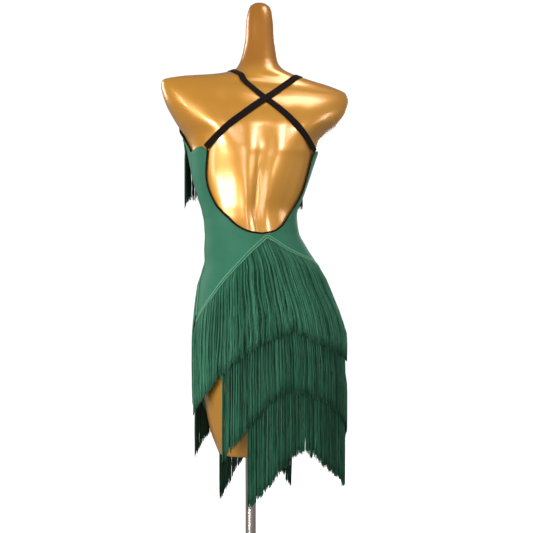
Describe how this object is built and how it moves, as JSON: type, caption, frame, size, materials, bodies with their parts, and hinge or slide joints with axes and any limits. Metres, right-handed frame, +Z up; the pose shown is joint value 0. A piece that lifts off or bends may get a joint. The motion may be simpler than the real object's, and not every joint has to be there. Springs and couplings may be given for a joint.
{
  "type": "latin dance dress on a dress form",
  "caption": "Sleeveless open-back Latin dance dress with crossed straps and tiered fringe, worn on a limbless display form with a pole stand.",
  "frame": {"origin": "centre of the underside of the stand's round base plate", "axes": "+Z up along the pole; the figure faces -Y, so +X is its left side"},
  "size_m": [0.438, 0.3052, 1.5515],
  "materials": {
    "green_jersey": "matte stretch jersey with a soft sheen",
    "green_fringe": "twisted chainette fringe with a silky sheen",
    "green_tape": "braided fringe header tape",
    "black_elastic": "ribbed woven elastic",
    "gold_form": "glossy gold lacquer",
    "stand_steel": "polished chrome plate"
  },
  "bodies": {
    "root": {"form": "gold_form", "pole": "stand_steel", "base_plate": "stand_steel", "base_socket": "stand_steel", "back_panel": "green_jersey", "front_panel": "green_jersey", "strap_left": "black_elastic", "strap_right": "black_elastic", "back_binding": "black_elastic", "neck_binding": "black_elastic", "armhole_binding_left": "black_elastic", "armhole_binding_right": "black_elastic", "back_tape_1": "green_tape", "back_tape_2": "green_tape", "back_tape_3": "green_tape", "front_tape_1": "green_tape", "front_tape_2": "green_tape", "front_tape_3": "green_tape", "bust_tape": "green_tape", "back_fringe_1": "green_fringe", "back_fringe_2": "green_fringe", "back_fringe_3": "green_fringe", "front_fringe_1": "green_fringe", "front_fringe_2": "green_fringe", "front_fringe_3": "green_fringe", "bust_fringe": "green_fringe"}
  },
  "joints": []
}
